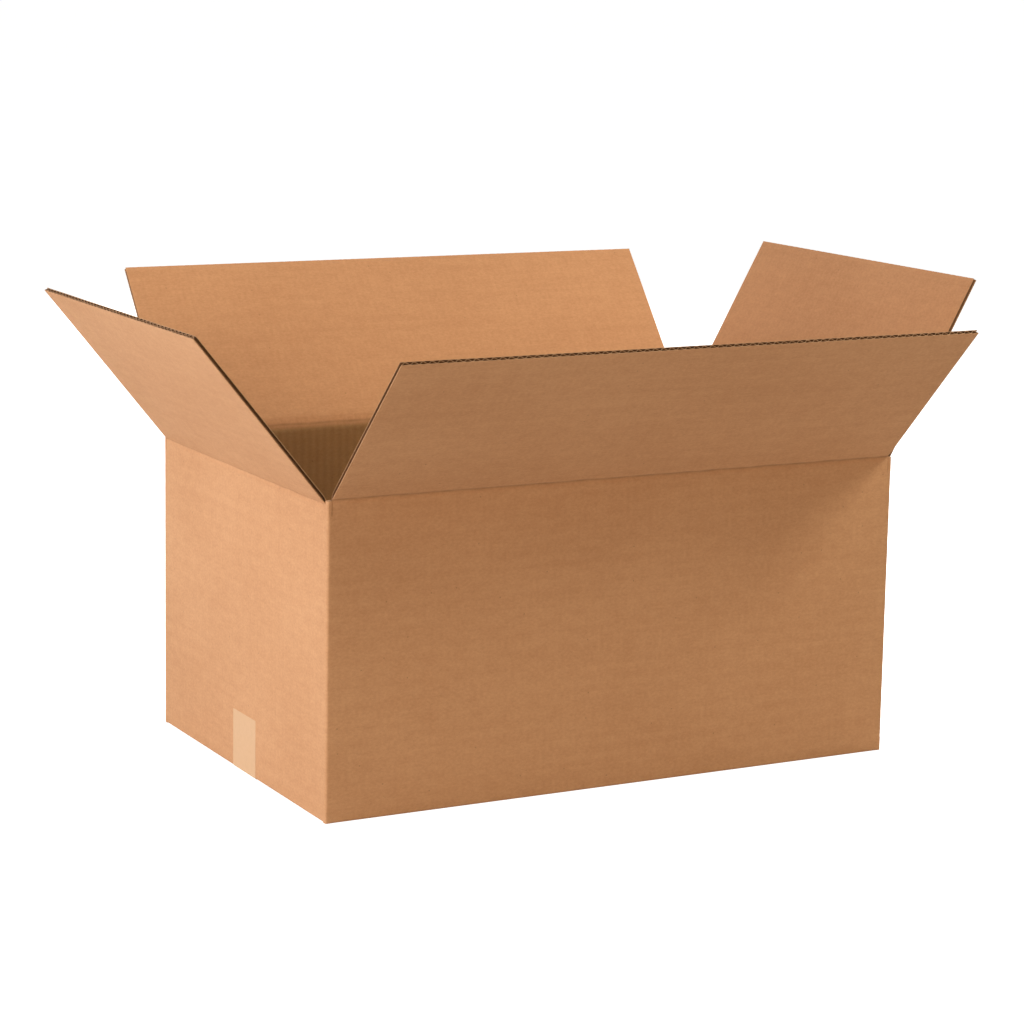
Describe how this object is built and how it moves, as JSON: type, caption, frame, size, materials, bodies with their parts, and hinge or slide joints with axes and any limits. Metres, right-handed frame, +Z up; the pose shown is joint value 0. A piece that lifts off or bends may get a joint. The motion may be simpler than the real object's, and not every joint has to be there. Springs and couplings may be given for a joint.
{
  "type": "open cardboard box",
  "caption": "Open cardboard box of corrugated board: slotted carton with hinged top flaps leaning outward and a folded bottom closed with tape.",
  "frame": {"origin": "on the floor under the middle of the box's base", "axes": "+X along the long walls, +Y from the front wall to the back wall, +Z up"},
  "size_m": [0.7375, 0.5777, 0.4161],
  "materials": {
    "kraft_board": "matte",
    "packing_tape": "satin"
  },
  "bodies": {
    "box": {"box_body": "kraft_board", "bottom_tape": "packing_tape"},
    "front_flap": {"front_top_flap": "kraft_board"},
    "back_flap": {"back_top_flap": "kraft_board"},
    "left_flap": {"left_top_flap": "kraft_board"},
    "right_flap": {"right_top_flap": "kraft_board"}
  },
  "joints": [
    {"name": "front_flap_hinge", "type": "hinge", "parent": "box", "child": "front_flap", "pos_m": [0, -0.174, 0.26415], "axis": [1, 0, 0], "range_deg": [-134.6, 130.4]},
    {"name": "back_flap_hinge", "type": "hinge", "parent": "box", "child": "back_flap", "pos_m": [0, 0.174, 0.26415], "axis": [-1, 0, 0], "range_deg": [-129, 136]},
    {"name": "left_flap_hinge", "type": "hinge", "parent": "box", "child": "left_flap", "pos_m": [-0.2695, 0, 0.25985], "axis": [0, -1, 0], "range_deg": [-129.4, 135.6]},
    {"name": "right_flap_hinge", "type": "hinge", "parent": "box", "child": "right_flap", "pos_m": [0.2695, 0, 0.25985], "axis": [0, 1, 0], "range_deg": [-119.2, 145.8]}
  ]
}
